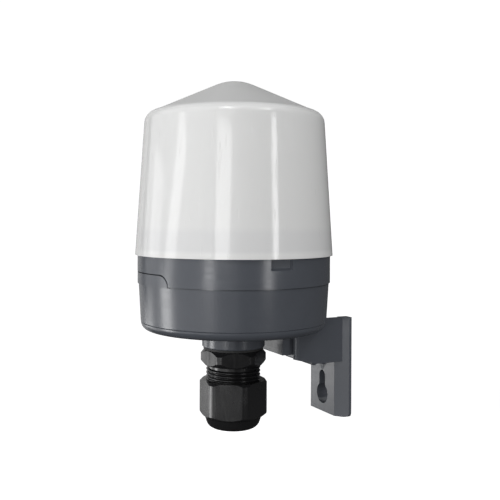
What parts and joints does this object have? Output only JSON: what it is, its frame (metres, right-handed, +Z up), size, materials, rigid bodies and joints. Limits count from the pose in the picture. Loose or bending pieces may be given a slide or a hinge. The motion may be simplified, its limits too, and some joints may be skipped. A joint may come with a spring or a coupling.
{
  "type": "photocell switch",
  "caption": "Wall-mounted twilight switch: opal dome on a round grey base with an arm, a keyhole wall plate and a cable gland.",
  "frame": {"origin": "middle of the wall plate's back face, where it meets the wall", "axes": "+Z up along the body, +Y into the wall, the front of the switch looks towards -Y"},
  "size_m": [0.08, 0.088, 0.1405],
  "materials": {
    "opal_dome": "translucent opal moulding, glossy",
    "grey_housing": "moulded, satin",
    "black_nylon": "moulded, half gloss",
    "seal_rubber": "soft, matt",
    "screw_steel": "zinc plated",
    "board_laminate": "lacquered",
    "relay_case": "moulded",
    "film_case": "moulded",
    "can_sleeve": "shrunk sleeve",
    "varistor_coat": "dipped",
    "fuse_case": "moulded",
    "black_epoxy": "moulded",
    "resistor_coat": "dipped",
    "white_plastic": "moulded",
    "sensor_ceramic": "clear coated",
    "contact_brass": "tinned",
    "terminal_plastic": "moulded"
  },
  "bodies": {
    "root": {"dome_cover": "opal_dome", "dome_seal": "seal_rubber", "control_ring": "grey_housing", "base_seal": "seal_rubber", "wall_base": "grey_housing", "housing_screws": "screw_steel", "circuit_board": "board_laminate", "board_screws": "screw_steel", "sensor_post": "white_plastic", "light_sensor": "sensor_ceramic", "relay": "relay_case", "dropper_capacitor": "film_case", "smoothing_capacitor": "can_sleeve", "varistor": "varistor_coat", "fuse": "fuse_case", "rectifier_diodes": "black_epoxy", "bleed_resistor": "resistor_coat", "control_chip": "black_epoxy", "relay_driver": "black_epoxy", "contact_blades": "contact_brass", "contact_sockets": "contact_brass", "terminal_block": "terminal_plastic", "terminal_clamps": "screw_steel", "terminal_screws": "screw_steel", "block_screws": "screw_steel", "gland_washer": "seal_rubber", "gland_body": "black_nylon", "gland_grommet": "seal_rubber", "gland_nut": "black_nylon"}
  },
  "joints": []
}
